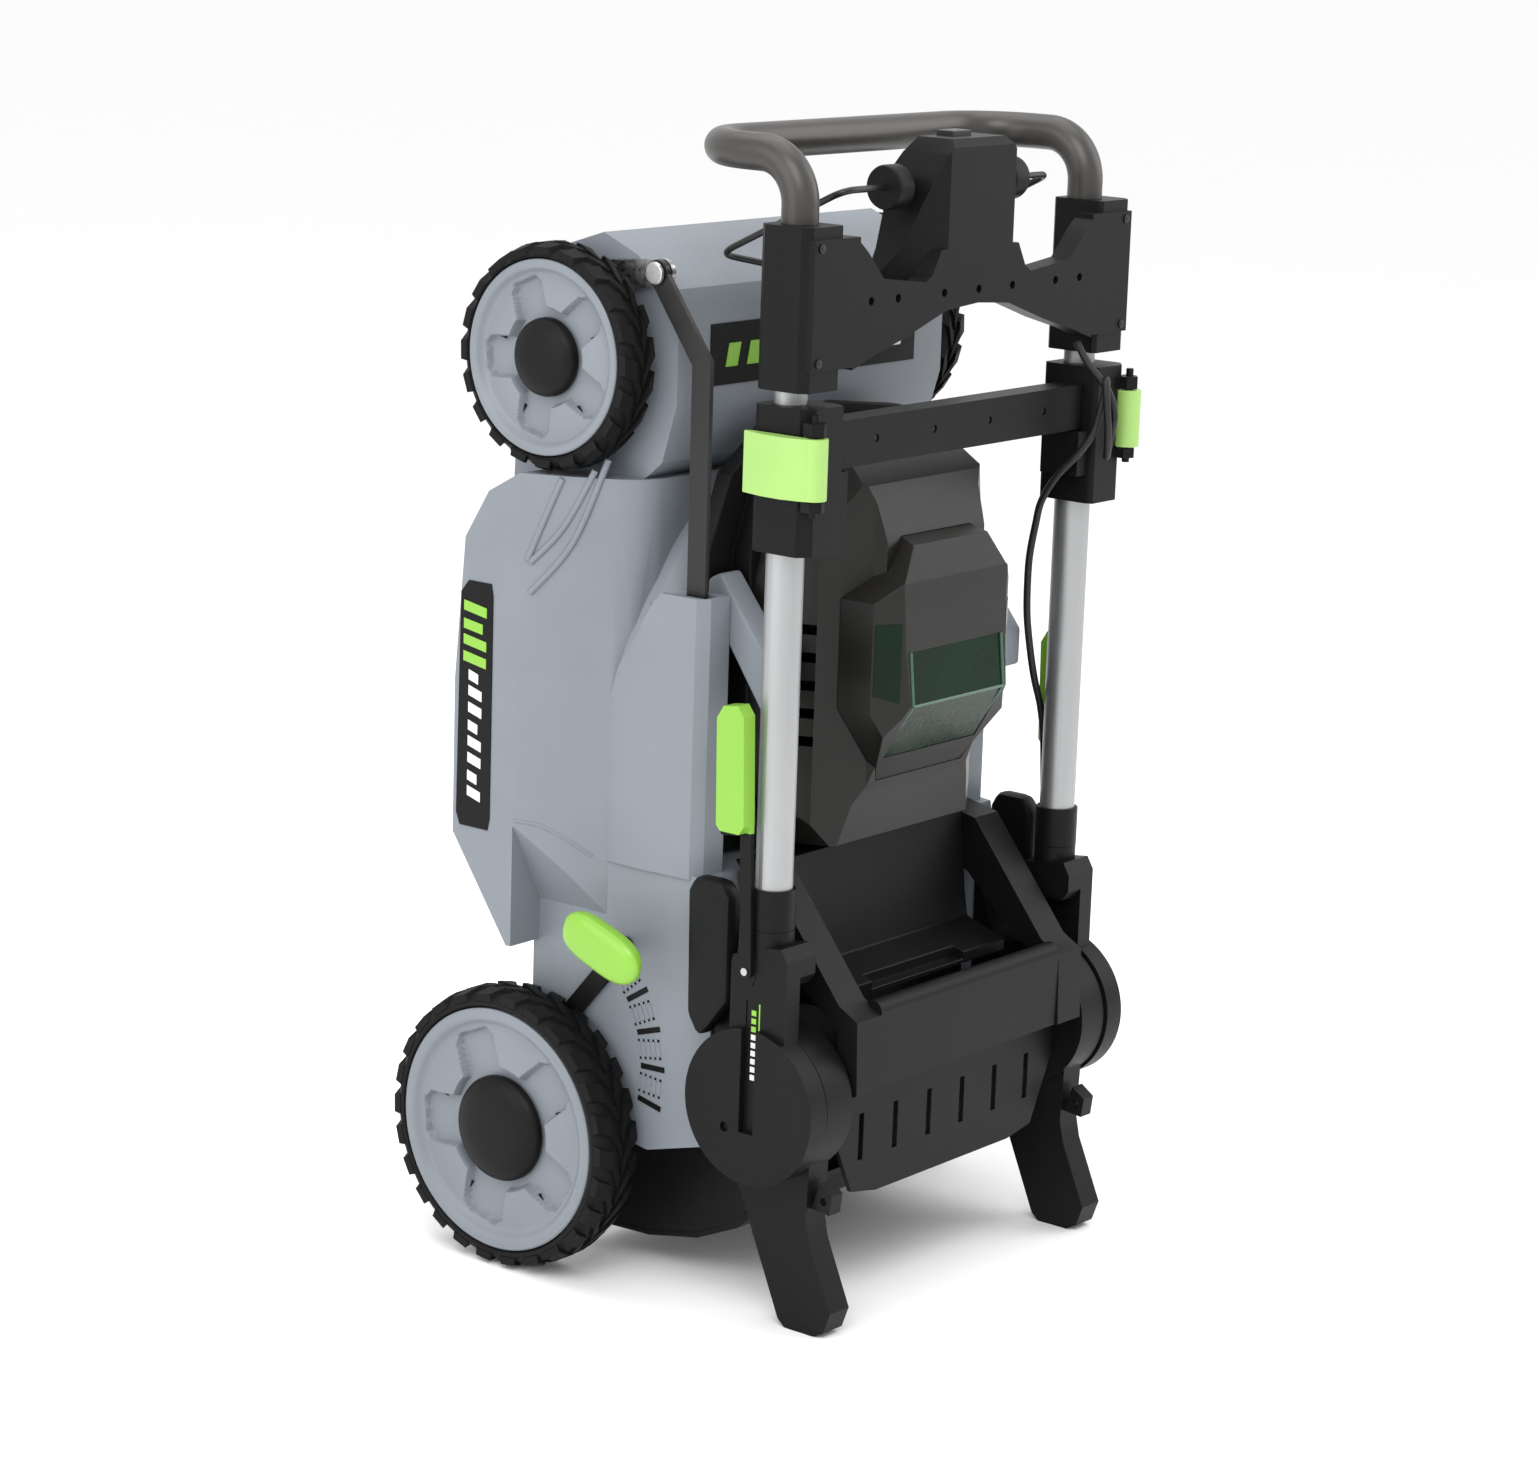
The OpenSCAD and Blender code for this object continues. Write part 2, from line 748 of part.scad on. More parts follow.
// ---- Height adjuster ----

module crank(pivot, x0, x1) {
    link_bar(pivot, pivot + crank_wheel, 26, x0, x1);
}

module rear_axle() {
    crank_x = well_x + 0.5;
    color(steel) {
        rod_x(adjuster_r, -crank_x - 3.8, crank_x + 3.8, rear_pivot);
        both_sides() crank(rear_pivot, crank_x, crank_x + 3.8);
        both_sides() rod_x(axle_r, crank_x + 3, rear_x - 6, rear_pivot + crank_wheel);
        mirror([1, 0, 0]) {
            link_bar(rear_pivot, rear_pivot + crank_pin, 18, rod_inner - 5.9, rod_inner - 0.9);
            rod_x(rod_pin_r, rod_inner - 1.3, rod_inner + 7.2, rear_pivot + crank_pin);
        }
    }
}

module height_lever() {
    grip_pin = rear_pivot + [-84, 98];
    color(lime) mirror([1, 0, 0]) {
        link_bar(rear_pivot + [-6, 6], grip_pin, 16, well_x + 0.7, well_x + 4.1);
        rod_x(7, well_x + 4, well_x + 38.5, grip_pin);
        // Lens-shaped grip, the overlap of two round discs.
        translate([well_x + 35.9, grip_pin[0] - 14, grip_pin[1] + 10.7])
            rotate([20, 0, 0]) rotate([0, 90, 0]) intersection() {
            translate([34, 0, 0]) cylinder(r = 53, h = 20);
            translate([-34, 0, 0]) cylinder(r = 53, h = 20);
        }
    }
}

module front_axle() {
    crank_x = nose_x + 2;
    color(steel) {
        rod_x(adjuster_r, -crank_x - 4.5, crank_x + 4.5, front_pivot);
        both_sides() crank(front_pivot, crank_x, crank_x + 4.4);
        both_sides() rod_x(axle_r, crank_x + 4, front_x - 6, front_pivot + crank_wheel);
        mirror([1, 0, 0]) {
            link_bar(front_pivot, front_pivot + crank_pin, 22, rod_inner - 5.3, rod_inner - 0.9);
            rod_x(rod_pin_r, rod_inner - 1.3, rod_inner + 5.1, front_pivot + crank_pin);
        }
    }
}

module link_rod() {
    front_pin = front_pivot + crank_pin;
    rear_pin = rear_pivot + crank_pin;
    outer = rod_inner + rod_thickness;
    color(black) mirror([1, 0, 0]) difference() {
        union() {
            rod_x(10.5, rod_inner, outer, front_pin);
            rod_x(10.5, rod_inner, outer, rear_pin);
            side_plate([front_pin + [7, -5], [-57, front_z + 4], [-59, 401], rear_pin + [8.4, 2.4],
                rear_pin - [8.4, 2.4], [-77, 399], [-75, front_z + 9], front_pin - [7, -5]],
                rod_inner, outer);
        }
        // The front eye is open round its pin, the rear eye is a running fit.
        rod_x(rod_pin_r + 0.5, rod_inner - 5, outer + 5, front_pin);
        rod_x(rod_pin_r + 0.08, rod_inner - 5, outer + 5, rear_pin);
    }
}

module rod_bolts() {
    color(steel) mirror([1, 0, 0])
        rod_x(9, rod_inner + rod_thickness + 0.6, rod_inner + rod_thickness + 4.6, front_pivot + crank_pin);
}

// ---- Wheels ----

module tyre(r, rim_r, width, outer_x, at, side) {
    color([0.09, 0.09, 0.09]) on_side(side) translate([outer_x, at[0], at[1]]) rotate([0, -90, 0]) union() {
        rotate_extrude($fn = 96) polygon([[rim_r, 1], [r - 9, 0], [r - 3.5, 4], [r - 3, width / 2],
            [r - 3.5, width - 4], [r - 9, width], [rim_r, width - 1]]);
        for (k = [0 : 23])
            rotate([0, 0, k * 15]) translate([r - 6, -5, 3]) cube([5.6, 10, width / 2 - 1]);
        for (k = [0 : 23])
            rotate([0, 0, k * 15 + 7.5]) translate([r - 6, -5, width / 2 - 2]) cube([5.6, 10, width / 2 - 1]);
    }
}

module star(reach, half, centre_r) {
    circle(r = centre_r);
    for (k = [0 : 4])
        rotate(k * 72 + 18) polygon([[0, -half * 0.8], [reach * 0.8, -half], [reach, -half * 0.55],
            [reach, half * 0.55], [reach * 0.8, half], [0, half * 0.8]]);
}

module rim(rim_r, width, outer_x, at, cap_r, side) {
    color(deck_grey) on_side(side) translate([outer_x, at[0], at[1]]) rotate([0, -90, 0]) difference() {
        rotate_extrude($fn = 96) polygon([[axle_r + run, 8], [cap_r, 8], [cap_r, 2], [rim_r * 0.88, 5],
            [rim_r * 0.92, 0], [rim_r, 1], [rim_r, width - 1], [rim_r - 4, width - 1], [rim_r - 5, 12.5],
            [24, 12.5], [18, width - 2], [axle_r + run, width - 2]]);
        translate([0, 0, -1]) linear_extrude(height = 10) star(rim_r * 0.82, rim_r * 0.2, cap_r + 6);
    }
}

module cap(cap_r, outer_x, at, side) {
    color(black) on_side(side) translate([outer_x, at[0], at[1]]) rotate([0, -90, 0])
        rotate_extrude($fn = 64) polygon([[0, -5], [cap_r * 0.55, -4], [cap_r * 0.85, -1], [cap_r - 1, 3],
            [cap_r - 1, 8.9], [cap_r - 4, 8.9], [cap_r - 4, 5], [0, 3]]);
}

module rear_tyre(side) {
    tyre(rear_tyre_r, rear_rim_r, rear_tyre_w, rear_x, rear_at, side);
}

module front_tyre(side) {
    tyre(front_tyre_r, front_rim_r, front_tyre_w, front_x, front_at, side);
}

module rear_rim(side) {
    rim(rear_rim_r, rear_tyre_w, rear_x, rear_at, rear_cap_r, side);
}

module front_rim(side) {
    rim(front_rim_r, front_tyre_w, front_x, front_at, front_cap_r, side);
}

place() deck();
place() struts();
place() badges();
place() motor_base();
place() motor_hood();
place() battery_lid();
place() lid_window();
place() battery_pack();
place() motor();
place() blade_shaft();
place() blade();
place() blade_bolt();
place() rear_housing();
place() carry_frame();
place() louvre_panel();
place() rear_door();
place() door_pin();
place() bracket(-1);  // bracket_left
place() bracket(1);  // bracket_right
place() bracket_cover(-1);  // bracket_cover_left
place() bracket_cover(1);  // bracket_cover_right
place() swing_arm(-1);  // swing_arm_left
place() swing_arm(1);  // swing_arm_right
place() lever_pins();
place() fold_lever(-1);  // fold_lever_left
place() fold_lever(1);  // fold_lever_right
place() lower_tube(-1);  // lower_tube_left
place() lower_tube(1);  // lower_tube_right
place() tube_collars();
place() clamp(-1);  // clamp_left
place() clamp(1);  // clamp_right
place() cam_lever(-1);  // cam_lever_left
place() cam_lever(1);  // cam_lever_right
place() cross_bar();
place() cable();
place() upper_tube(-1);  // upper_tube_left
place() upper_tube(1);  // upper_tube_right
place() console();
place() handlebar();
place() start_button();
place() bail_wire();
place() bail_hubs();
place() rear_axle();
place() height_lever();
place() front_axle();
place() link_rod();
place() rod_bolts();
place() rear_tyre(-1);  // tyre_rear_left
place() rear_tyre(1);  // tyre_rear_right
place() front_tyre(-1);  // tyre_front_left
place() front_tyre(1);  // tyre_front_right
place() rear_rim(-1);  // rim_rear_left
place() rear_rim(1);  // rim_rear_right
place() front_rim(-1);  // rim_front_left
place() front_rim(1);  // rim_front_right
place() cap(rear_cap_r, rear_x, rear_at, -1);  // cap_rear_left
place() cap(rear_cap_r, rear_x, rear_at, 1);  // cap_rear_right
place() cap(front_cap_r, front_x, front_at, -1);  // cap_front_left
place() cap(front_cap_r, front_x, front_at, 1);  // cap_front_right
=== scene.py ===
import json
import math

import bmesh
import bpy
from mathutils import Matrix, Vector


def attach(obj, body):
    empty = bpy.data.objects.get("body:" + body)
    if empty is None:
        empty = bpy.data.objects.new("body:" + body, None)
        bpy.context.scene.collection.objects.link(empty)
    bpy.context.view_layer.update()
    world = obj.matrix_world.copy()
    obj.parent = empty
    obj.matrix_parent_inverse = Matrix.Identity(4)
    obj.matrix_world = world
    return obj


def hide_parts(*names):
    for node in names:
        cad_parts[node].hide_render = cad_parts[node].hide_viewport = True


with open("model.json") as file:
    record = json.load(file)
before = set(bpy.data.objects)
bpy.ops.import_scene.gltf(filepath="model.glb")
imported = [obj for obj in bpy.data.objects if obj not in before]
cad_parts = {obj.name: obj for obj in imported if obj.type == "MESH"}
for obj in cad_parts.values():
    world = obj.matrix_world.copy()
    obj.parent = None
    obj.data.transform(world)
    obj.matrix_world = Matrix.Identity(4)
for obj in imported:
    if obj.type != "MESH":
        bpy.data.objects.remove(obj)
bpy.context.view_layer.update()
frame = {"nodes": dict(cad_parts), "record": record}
shift = 0.01635  # the frame is centred on the footprint, so sizes in Y get this added


# materials

def startMaterial(name):
    mat = bpy.data.materials.new(name)
    mat.use_nodes = True
    tree = mat.node_tree
    return mat, tree, tree.nodes["Principled BSDF"]


def addNoise(tree, scale, detail, stretch=(1, 1, 1)):
    coords = tree.nodes.new("ShaderNodeTexCoord")
    mapping = tree.nodes.new("ShaderNodeMapping")
    noise = tree.nodes.new("ShaderNodeTexNoise")
    mapping.inputs["Scale"].default_value = stretch
    noise.inputs["Scale"].default_value = scale
    noise.inputs["Detail"].default_value = detail
    tree.links.new(coords.outputs["Object"], mapping.inputs["Vector"])
    tree.links.new(mapping.outputs["Vector"], noise.inputs["Vector"])
    return noise


def addRamp(tree, source, low, high, colourA, colourB):
    ramp = tree.nodes.new("ShaderNodeValToRGB")
    ramp.color_ramp.elements[0].position = low
    ramp.color_ramp.elements[1].position = high
    ramp.color_ramp.elements[0].color = colourA
    ramp.color_ramp.elements[1].color = colourB
    tree.links.new(source, ramp.inputs["Fac"])
    return ramp


def addRange(tree, source, low, high):
    span = tree.nodes.new("ShaderNodeMapRange")
    span.inputs["From Min"].default_value = 0.3
    span.inputs["From Max"].default_value = 0.7
    span.inputs["To Min"].default_value = low
    span.inputs["To Max"].default_value = high
    tree.links.new(source, span.inputs["Value"])
    return span


def shade(colour, factor):
    return tuple(min(1, c * factor) for c in colour[:3]) + (1,)


def mouldedPlastic(name, colour, rough=0.42, grain=900, bump=0.12, wear=0.08, coat=0.0, metal=0.0,
                   stretch=(1, 1, 1), sheen=0.5):
    mat, tree, shader = startMaterial(name)
    cloudy = addNoise(tree, 9, 4)
    fine = addNoise(tree, grain, 2, stretch)
    tint = addRamp(tree, cloudy.outputs["Fac"], 0.3, 0.7, shade(colour, 1 - wear), shade(colour, 1 + wear))
    tree.links.new(tint.outputs["Color"], shader.inputs["Base Color"])
    gloss = addRange(tree, fine.outputs["Fac"], rough - 0.06, rough + 0.08)
    tree.links.new(gloss.outputs["Result"], shader.inputs["Roughness"])
    bumpNode = tree.nodes.new("ShaderNodeBump")
    bumpNode.inputs["Strength"].default_value = bump
    bumpNode.inputs["Distance"].default_value = 0.0004
    tree.links.new(fine.outputs["Fac"], bumpNode.inputs["Height"])
    tree.links.new(bumpNode.outputs["Normal"], shader.inputs["Normal"])
    shader.inputs["Metallic"].default_value = metal
    shader.inputs["Coat Weight"].default_value = coat
    shader.inputs["Specular IOR Level"].default_value = sheen
    return mat


looks = {
    "deck_grey": mouldedPlastic("deckGrey", (0.178, 0.198, 0.222), 0.40, 700, 0.08, 0.06, sheen=0.4),
    "black_plastic": mouldedPlastic("blackPlastic", (0.0048, 0.0048, 0.0051), 0.42, 1400, 0.2, 0.15,
                                    sheen=0.14),
    "lime_plastic": mouldedPlastic("limePlastic", (0.20, 0.43, 0.035), 0.34, 500, 0.05, 0.04, coat=0.12),
    "tube_aluminium": mouldedPlastic("tubeAluminium", (0.37, 0.375, 0.38), 0.42, 300, 0.06, 0.03, metal=0.85,
                                     stretch=(3, 3, 0.05)),
    "bar_paint": mouldedPlastic("barPaint", (0.031, 0.028, 0.025), 0.34, 1200, 0.16, 0.08, sheen=0.5),
    "zinc_steel": mouldedPlastic("zincSteel", (0.42, 0.42, 0.43), 0.3, 260, 0.1, 0.1, metal=1.0),
    "black_steel": mouldedPlastic("blackSteel", (0.008, 0.008, 0.008), 0.36, 500, 0.08, 0.1, sheen=0.4),
    "tyre_rubber": mouldedPlastic("tyreRubber", (0.0052, 0.0052, 0.0056), 0.6, 420, 0.35, 0.2, sheen=0.14),
    "battery_case": mouldedPlastic("batteryCase", (0.03, 0.031, 0.033), 0.5, 800, 0.15, 0.1),
    "button_grey": mouldedPlastic("buttonGrey", (0.014, 0.014, 0.015), 0.35, 500, 0.05, 0.05, sheen=0.3),
    "cable_rubber": mouldedPlastic("cableRubber", (0.008, 0.008, 0.008), 0.45, 600, 0.1, 0.1, sheen=0.35),
    "window_green": mouldedPlastic("windowGreen", (0.001, 0.013, 0.005), 0.2, 300, 0.01, 0.5, sheen=0.16),
}
clampLime = mouldedPlastic("clampLime", (0.29, 0.49, 0.125), 0.38, 500, 0.05, 0.04, coat=0.08)
frameGreen = mouldedPlastic("frameGreen", (0.03, 0.085, 0.055), 0.25, 300, 0.02, 0.1, coat=0.2)
markWhite = mouldedPlastic("markWhite", (0.62, 0.62, 0.6), 0.4, 900, 0.05, 0.04)
hoodSatin = mouldedPlastic("hoodSatin", (0.0095, 0.0088, 0.0078), 0.36, 1600, 0.16, 0.12, sheen=0.28)
for name, node in frame["nodes"].items():
    slotName = next(row["material_slot"] for row in frame["record"]["subparts"] if row["node"] == name)
    node.data.materials.clear()
    node.data.materials.append(looks[slotName])
print("materials made")


# helpers for new pieces

bodyOf = {
    member: body
    for body, members in frame["record"]["behaviour"]["bodies"].items()
    for member in members
}
slotOf = {row["node"]: row["material_slot"] for row in frame["record"]["subparts"]}


# A place given in mm, before the frame's shift.
def at(x, y, z):
    return Vector((x / 1000, y / 1000 + shift, z / 1000))


def finishPiece(name, build, body, slotName, smoothAngle=35, material=None):
    bmesh.ops.remove_doubles(build, verts=build.verts, dist=0.000002)
    bmesh.ops.recalc_face_normals(build, faces=build.faces)
    mesh = bpy.data.meshes.new(name)
    for face in build.faces:
        face.smooth = True
    limit = math.radians(smoothAngle)
    for edge in build.edges:
        edge.smooth = len(edge.link_faces) == 2 and edge.calc_face_angle(0) < limit
    build.to_mesh(mesh)
    build.free()
    mesh.materials.append(material or looks[slotName])
    piece = bpy.data.objects.new(name, mesh)
    bpy.context.scene.collection.objects.link(piece)
    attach(piece, body)
    return piece


# Keeps broad flat faces flat where they meet a rounded edge.
def evenNormals(piece):
    weighted = piece.modifiers.new("evenNormals", "WEIGHTED_NORMAL")
    weighted.keep_sharp = True
    weighted.weight = 80


# A CAD node's mesh with its flat faces joined up, ready to be cut or rounded.
def copyNode(node):
    build = bmesh.new()
    build.from_mesh(frame["nodes"][node].data)
    bmesh.ops.remove_doubles(build, verts=build.verts, dist=0.00002)
    bmesh.ops.dissolve_limit(build, angle_limit=math.radians(1.2), verts=build.verts, edges=build.edges)
    return build


# Cuts a closed mesh at a plane, drops one side of it and closes the cut.
def cutNode(build, point, normal, dropInner, dropOuter=False):
    everything = build.verts[:] + build.edges[:] + build.faces[:]
    cut = bmesh.ops.bisect_plane(build, geom=everything, plane_co=point, plane_no=normal,
                                 clear_inner=dropInner, clear_outer=dropOuter)
    rim = [part for part in cut["geom_cut"] if isinstance(part, bmesh.types.BMEdge)]
    bmesh.ops.holes_fill(build, edges=rim, sides=0)


def bevelSharp(build, width, segments=2, angle=30):
    limit = math.radians(angle)
    sharp = [e for e in build.edges if len(e.link_faces) == 2 and e.calc_face_angle(0) > limit]
    bmesh.ops.bevel(build, geom=sharp, offset=width, segments=segments, profile=0.5, affect="EDGES",
                    material=-1, clamp_overlap=True)


# A copy of a CAD node with its edges rounded.
def softenNode(node, width, segments=2, angle=28, smoothAngle=38, material=None):
    build = copyNode(node)
    bevelSharp(build, width, segments, angle)
    piece = finishPiece("soft_" + node, build, bodyOf[node], slotOf[node], smoothAngle, material)
    evenNormals(piece)
    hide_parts(node)


# Turns an outline of (radius, along) points about the X axis at a given centre.
def turnedX(build, outline, centre, side=1, steps=96):
    verts = [build.verts.new((side * along, centre[0] + radius, centre[1])) for radius, along in outline]
    edges = [build.edges.new((verts[i], verts[i + 1])) for i in range(len(verts) - 1)]
    bmesh.ops.spin(build, geom=verts + edges, cent=(0, centre[0], centre[1]), axis=(1, 0, 0),
                   angle=math.tau, steps=steps, use_merge=True)


def addBlock(build, low, high, turn=None):
    made = bmesh.ops.create_cube(build, size=1)["verts"]
    size = [high[i] - low[i] for i in range(3)]
    mid = [(high[i] + low[i]) / 2 for i in range(3)]
    bmesh.ops.scale(build, verts=made, vec=size)
    bmesh.ops.translate(build, verts=made, vec=mid)
    if turn:
        bmesh.ops.transform(build, matrix=turn, verts=made)


def addRod(build, radius, start, end, steps=24):
    start, end = Vector(start), Vector(end)
    along = end - start
    place = Matrix.Translation((start + end) / 2) @ along.to_track_quat("Z", "Y").to_matrix().to_4x4()
    bmesh.ops.create_cone(build, cap_ends=True, segments=steps, radius1=radius, radius2=radius,
                          depth=along.length, matrix=place)


def smoothPath(points, perSpan=8):
    path = []
    count = len(points)
    for i in range(count - 1):
        p = [Vector(points[max(0, min(count - 1, i + k))]) for k in (-1, 0, 1, 2)]
        for step in range(perSpan):
            t = step / perSpan
            bend = 2 * p[0] - 5 * p[1] + 4 * p[2] - p[3]
            twist = 3 * p[1] - p[0] - 3 * p[2] + p[3]
            path.append(0.5 * ((2 * p[1]) + (p[2] - p[0]) * t + bend * t * t + twist * t ** 3))
    path.append(Vector(points[-1]))
    return path


# A round tube along a path, closed at both ends.
def addTube(build, path, radius, steps=16):
    rings = []
    across = None
    for i, point in enumerate(path):
        ahead = (path[min(i + 1, len(path) - 1)] - path[max(i - 1, 0)]).normalized()
        if across is None:
            across = ahead.orthogonal().normalized()
        across = (across - ahead * across.dot(ahead)).normalized()
        other = ahead.cross(across)
        rings.append([build.verts.new(point + radius * (across * math.cos(math.tau * k / steps)
                                                        + other * math.sin(math.tau * k / steps)))
                      for k in range(steps)])
    for a, b in zip(rings, rings[1:]):
        for k in range(steps):
            build.faces.new((a[k], a[(k + 1) % steps], b[(k + 1) % steps], b[k]))
    build.faces.new(list(reversed(rings[0])))
    build.faces.new(rings[-1])


# Lifts a flat outline to a closed slab; toSpace turns (u, v, depth) into a place.
def addSlab(build, outline, depthA, depthB, toSpace):
    low = [build.verts.new(toSpace(u, v, depthA)) for u, v in outline]
    high = [build.verts.new(toSpace(u, v, depthB)) for u, v in outline]
    build.faces.new(list(reversed(low)))
    build.faces.new(high)
    for i in range(len(outline)):
        j = (i + 1) % len(outline)
        build.faces.new((low[i], low[j], high[j], high[i]))


# Place finder for slabs on one side of the mower: u runs along Y and v along Z, both in mm.
def sideFace(side):
    def place(u, v, depth):
        return Vector((side * depth, u / 1000 + shift, v / 1000))
    return place


# wheels

wheelSizes = {
    "rear": {"radius": 0.1143, "rim": 0.0988, "width": 0.046, "outer": 0.2384, "at": (0.076 + shift, 0.1143),
             "cap": 0.044, "lugs": 26},
    "front": {"radius": 0.088, "rim": 0.0755, "width": 0.036, "outer": 0.216, "at": (0.063 + shift, 0.731),
              "cap": 0.0315, "lugs": 20},
}


def smoothStep(low, high, value):
    t = max(0, min(1, (value - low) / (high - low)))
    return t * t * (3 - 2 * t)


def wheelBody(end, side):
    return "wheel_" + end + ("_left" if side < 0 else "_right")


# Lugs stand in four rows; turns, spans and leans are parts of the pitch from one lug to the next.
tread = {
    "lugHeight": 0.0042, "root": 0.0022, "inset": 0.0006, "edgeDrop": 0.0034, "sideDepth": 0.0095,
    "narrow": 0.82, "turns": (0, 0.5, 0.08, 0.55), "spans": (0.33, 0.25, 0.25, 0.33),
    "leans": (0.1, 0.34, -0.34, -0.1), "steps": 104,
}
boxFaces = ((0, 1, 3, 2), (4, 6, 7, 5), (0, 4, 5, 1), (2, 3, 7, 6), (0, 2, 6, 4), (1, 5, 7, 3))


def makeTyre(end, side, name):
    size = wheelSizes[end]
    r, rim, w, outer = size["radius"], size["rim"], size["width"], size["outer"]
    y, z = size["at"]
    base = r - tread["lugHeight"]
    outline = [
        (rim + 0.0002, -0.0035), (rim + 0.002, -0.0008), (r - 0.011, -0.0004), (r - 0.0078, -0.0022),
        (base, -0.0075), (base + 0.0008, -w * 0.3), (base + 0.0012, -w / 2), (base + 0.0008, -w * 0.7),
        (base, -w + 0.0075), (r - 0.0078, -w + 0.0022), (r - 0.011, -w + 0.0004),
        (rim + 0.002, -w + 0.0008), (rim + 0.0002, -w + 0.0035), (rim + 0.0002, -0.0035),
    ]
    build = bmesh.new()
    turnedX(build, [(a, outer + b) for a, b in outline], (y, z), side, tread["steps"])
    lugs = size["lugs"]
    starts = (tread["inset"], w * 0.29, w * 0.53, w * 0.74)
    finishes = (w * 0.30, w * 0.50, w * 0.73, w - tread["inset"])
    for k in range(lugs):
        for row in range(4):
            angle = math.tau * (k + tread["turns"][row]) / lugs
            span = math.tau / lugs * tread["spans"][row]
            lean = tread["leans"][row] * math.tau / lugs
            corners = []
            for along, twist in ((starts[row], -lean), (finishes[row], lean)):
                atEdge = (row == 0 and twist == -lean) or (row == 3 and twist == lean)
                foot = r - tread["sideDepth"] if atEdge else base - tread["root"]
                crest = r - tread["edgeDrop"] if atEdge else r
                for height, narrow in ((foot, 1.0), (crest, tread["narrow"])):
                    for way in (-1, 1):
                        a = angle + twist + way * span * narrow
                        corners.append((side * (outer - along), y + height * math.cos(a),
                                        z + height * math.sin(a)))
            v = [build.verts.new(c) for c in corners]
            for loop in boxFaces:
                build.faces.new([v[i] for i in loop])
    piece = finishPiece(name, build, wheelBody(end, side), "tyre_rubber", 32)
    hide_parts(f"tyre_{end}_" + ("left" if side < 0 else "right"))


starTurn = 0.4

# The star pressed into a rim: reach and half width as parts of its radius, gap, edge and depth in metres.
star = {"arms": 5, "reach": 0.815, "half": 0.205, "taperFrom": 0.9, "taper": 0.7, "gap": 0.0062,
        "edge": 0.0012, "depth": 0.0082}


# Depth of the rim's outer face: a dish with the star pressed into it and petals raised between the arms.
def rimDepth(radius, angle, rim, cap):
    turn = (angle + math.tau / 20) % (math.tau / star["arms"]) - math.tau / 10
    along, across = radius * math.cos(turn), abs(radius * math.sin(turn))
    reach = rim * star["reach"]
    half = rim * star["half"]
    if along > reach * star["taperFrom"]:
        half -= (along - reach * star["taperFrom"]) * star["taper"]
    inside = min(half - across, reach - along)
    inside = max(inside, cap + star["gap"] - radius)
    pressed = smoothStep(-star["edge"], star["edge"], inside)
    dish = 0.0048 * smoothStep(rim * 0.93, rim * 0.83, radius) + 0.0012
    petal = 0.0026 * smoothStep(rim * 0.84, rim * 0.55, radius)
    lip = 0.0011 * smoothStep(rim * 0.865, rim * 0.91, radius)
    return dish - petal - lip + pressed * (star["depth"] - dish * 0.45 + petal)


# A place on a wheel, at a depth in from its outer face and a radius and an angle about its axle.
def onWheel(size, side, depth, radius, angle):
    y, z = size["at"]
    return Vector((side * (size["outer"] - depth), y + side * radius * math.cos(angle),
                   z + radius * math.sin(angle)))


def makeRim(end, side, name):
    size = wheelSizes[end]
    rim, w, cap = size["rim"], size["width"], size["cap"]
    around, across = 300, 46
    inner = cap - 0.004
    radii = [inner + (rim * 0.955 - cap + 0.004) * i / across for i in range(across + 1)]
    angles = [math.tau * k / around for k in range(around)]
    backs = [
        (rim * 0.97, 0.0004), (rim * 0.985, 0.0002), (rim - 0.0002, 0.0012), (rim - 0.0002, w - 0.0012),
        (rim - 0.004, w - 0.001), (rim - 0.0055, 0.0165), (cap, 0.0165), (cap * 0.7, w * 0.6),
        (0.018, w - 0.002), (0.0061, w - 0.002), (0.0061, 0.0096), (cap - 0.006, 0.0096),
    ]
    build = bmesh.new()
    rings = []
    for radius in radii:
        ring = []
        for a in angles:
            depth = rimDepth(radius, a, rim, cap)
            ring.append(build.verts.new(onWheel(size, side, depth, radius, a + starTurn)))
        rings.append(ring)
    for radius, depth in backs:
        rings.append([build.verts.new(onWheel(size, side, depth, radius, a + starTurn)) for a in angles])
    for a, b in zip(rings, rings[1:] + rings[:1]):
        for k in range(around):
            build.faces.new((a[k], a[(k + 1) % around], b[(k + 1) % around], b[k]))
    piece = finishPiece(name, build, wheelBody(end, side), "deck_grey", 40)
    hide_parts(f"rim_{end}_" + ("left" if side < 0 else "right"))


def makeCap(end, side, name):
    size = wheelSizes[end]
    cap, outer = size["cap"], size["outer"]
    outline = [
        (0.0, 0.005), (cap * 0.3, 0.0047), (cap * 0.55, 0.004), (cap * 0.74, 0.0026), (cap * 0.86, 0.0006),
        (cap * 0.94, -0.0022), (cap - 0.001, -0.0056), (cap - 0.001, -0.0088), (cap - 0.004, -0.0088),
        (cap - 0.004, -0.005), (0.0, -0.003),
    ]
    build = bmesh.new()
    turnedX(build, [(a, outer + b) for a, b in outline], size["at"], side, 72)
    piece = finishPiece(name, build, wheelBody(end, side), "black_plastic", 40)
    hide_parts(f"cap_{end}_" + ("left" if side < 0 else "right"))


for end in ("rear", "front"):
    for side, word in ((-1, "left"), (1, "right")):
        makeTyre(end, side, f"tread_{end}_{word}")
        makeRim(end, side, f"wheelFace_{end}_{word}")
        makeCap(end, side, f"hubCap_{end}_{word}")
print("wheels made")


# rounded copies of the moulded and bent parts

